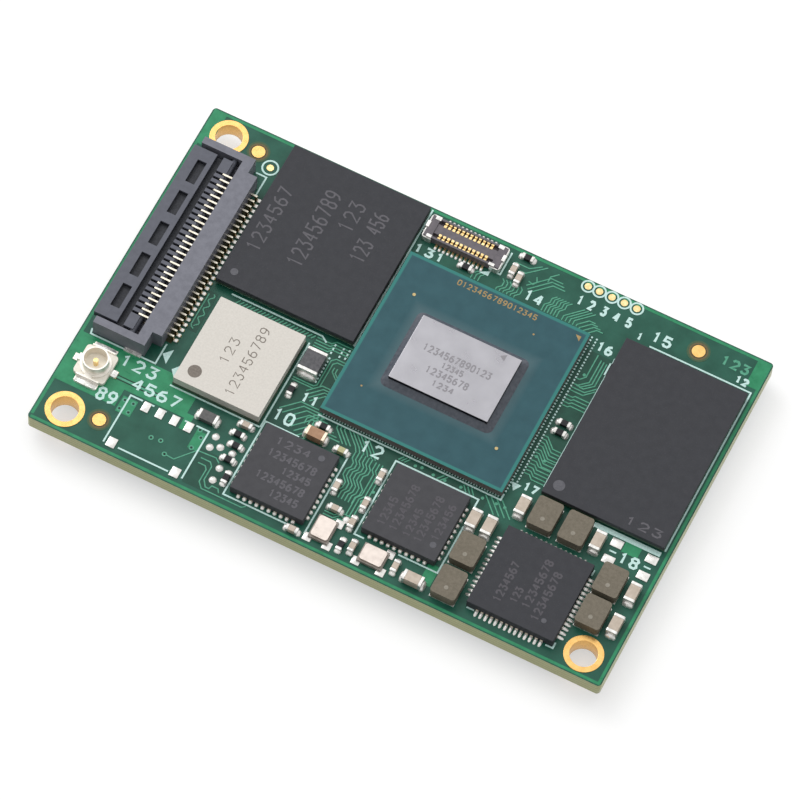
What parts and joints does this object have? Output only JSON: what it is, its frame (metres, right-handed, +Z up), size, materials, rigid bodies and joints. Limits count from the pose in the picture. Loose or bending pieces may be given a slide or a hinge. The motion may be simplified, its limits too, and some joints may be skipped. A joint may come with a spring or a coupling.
{
  "type": "system on module",
  "caption": "Small green circuit module with a bare-die processor, memory, storage, radio, power parts, a flip-lock flex connector, an antenna jack and connectors to a carrier board.",
  "frame": {"origin": "middle of the board in plan, on the plane that the three underside connectors rest on", "axes": "+X along the board's long edge, from the flex connector to the memory chip; +Y across the board towards the storage chip; +Z up, out of the populated face"},
  "size_m": [0.047, 0.03, 0.0042],
  "materials": {
    "solder_mask": "glossy green solder mask over copper",
    "gold_plate": "bright gold plating",
    "processor_laminate": "satin dark teal laminate",
    "polished_silicon": "smooth grey silicon",
    "underfill_resin": "satin grey resin",
    "shield_coat": "fine matt sputtered metal",
    "laminate": "dark green laminate",
    "chip_mould": "fine matt dark grey moulding",
    "capacitor_ceramic": "satin beige ceramic",
    "brown_ceramic": "satin brown ceramic",
    "resistor_glaze": "black glaze",
    "olive_mould": "olive moulding",
    "ferrite": "matt grey ferrite",
    "pressed_iron": "matt grey-brown pressed powder",
    "dark_ceramic": "matt dark ceramic",
    "lid_metal": "satin metal lid",
    "cream_plastic": "cream moulded plastic",
    "jack_metal": "pale gold plated shell",
    "grey_plastic": "matt grey moulded plastic",
    "dark_plastic": "matt dark grey moulded plastic",
    "black_plastic": "matt black moulded plastic",
    "contact_metal": "plated contact metal",
    "solder": "bright tinned metal"
  },
  "bodies": {
    "module": {"circuit_board": "solder_mask", "hole_plating": "gold_plate", "processor_substrate": "processor_laminate", "processor_die": "polished_silicon", "processor_underfill": "underfill_resin", "processor_balls": "solder", "storage_body": "chip_mould", "storage_substrate": "laminate", "storage_balls": "solder", "memory_body": "chip_mould", "memory_substrate": "laminate", "memory_balls": "solder", "radio_shield": "shield_coat", "radio_substrate": "laminate", "power_chip_body": "chip_mould", "power_chip_leads": "solder", "network_chip_1_body": "chip_mould", "network_chip_1_leads": "solder", "network_chip_2_body": "chip_mould", "network_chip_2_leads": "solder", "inductor_1": "pressed_iron", "inductor_2": "pressed_iron", "inductor_3": "pressed_iron", "inductor_4": "pressed_iron", "inductor_5": "pressed_iron", "inductor_6": "pressed_iron", "inductor_terminals": "solder", "bulk_capacitor_bodies": "capacitor_ceramic", "bulk_capacitor_ends": "solder", "filter_capacitor_body": "brown_ceramic", "filter_capacitor_ends": "solder", "chip_capacitor_bodies": "capacitor_ceramic", "chip_capacitor_ends": "solder", "chip_resistor_bodies": "resistor_glaze", "chip_resistor_ends": "solder", "sense_resistor_body": "resistor_glaze", "sense_resistor_ends": "solder", "diode_body": "olive_mould", "diode_ends": "solder", "choke_body": "ferrite", "choke_ends": "solder", "crystal_1_base": "dark_ceramic", "crystal_1_lid": "lid_metal", "crystal_2_base": "dark_ceramic", "crystal_2_lid": "lid_metal", "coax_base": "cream_plastic", "coax_shell": "jack_metal", "coax_pin": "gold_plate", "flex_housing": "grey_plastic", "flex_contacts": "contact_metal", "flex_anchors": "solder", "socket_housing": "dark_plastic", "socket_contacts": "gold_plate", "socket_anchors": "solder", "carrier_housing_1": "black_plastic", "carrier_housing_2": "black_plastic", "carrier_housing_3": "black_plastic", "carrier_contacts": "gold_plate"},
    "flex_lock": {"flex_lock": "dark_plastic"}
  },
  "joints": [
    {"name": "flex_lock_flip", "type": "hinge", "parent": "module", "child": "flex_lock", "pos_m": [-0.01965, 0.0025, 0.00365], "axis": [0, 1, 0], "range_deg": [0, 90]}
  ]
}
